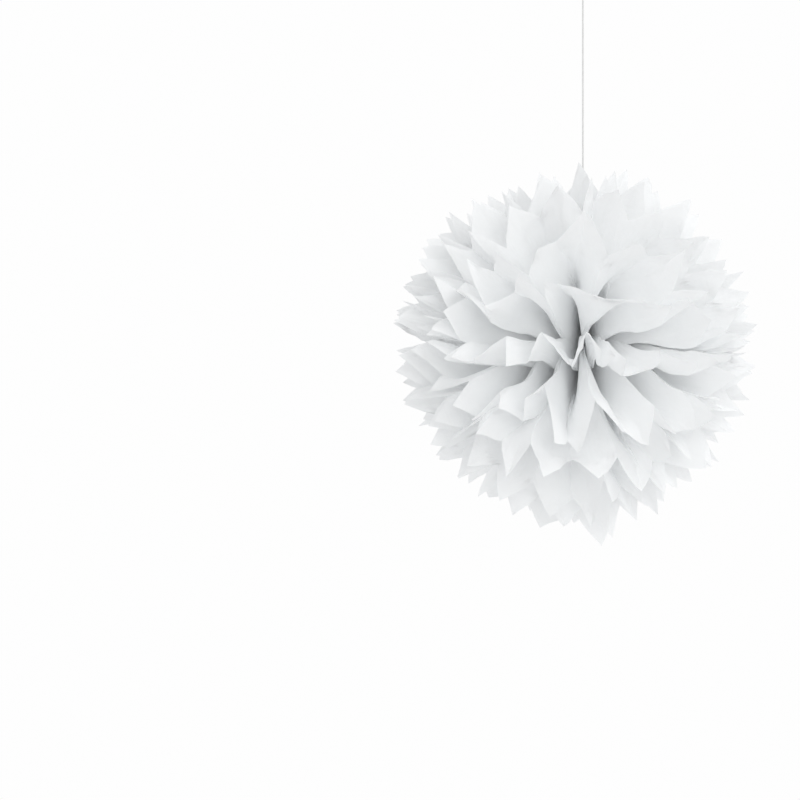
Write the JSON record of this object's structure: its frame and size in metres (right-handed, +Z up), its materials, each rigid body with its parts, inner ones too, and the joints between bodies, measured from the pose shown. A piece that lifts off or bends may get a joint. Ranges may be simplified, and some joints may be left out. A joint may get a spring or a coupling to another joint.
{
  "type": "tissue paper pom pom",
  "caption": "Ball-shaped hanging decoration of accordion-folded tissue sheets, tied in the middle, fanned out into pointed petals and hung on a thin cord.",
  "frame": {"origin": "the top of the hanging loop, where a hook holds it; the ball's centre is 0.42 m below", "axes": "+Z up along the cord, -Y towards the front pole of the ball, X across, along the groove between the upper and the lower fans"},
  "size_m": [0.4114, 0.4141, 0.6281],
  "materials": {
    "tissue": "matte, thin enough to let light through",
    "cord": "twisted white cotton cord",
    "wire": "plain galvanised craft wire"
  },
  "bodies": {
    "root": {"tissue_sheet_1": "tissue", "tissue_sheet_2": "tissue", "tissue_sheet_3": "tissue", "tissue_sheet_4": "tissue", "tissue_sheet_5": "tissue", "tissue_sheet_6": "tissue", "tissue_sheet_7": "tissue", "tissue_sheet_8": "tissue", "tissue_sheet_9": "tissue", "tissue_sheet_10": "tissue", "tie_wire": "wire", "hanging_cord": "cord"}
  },
  "joints": []
}
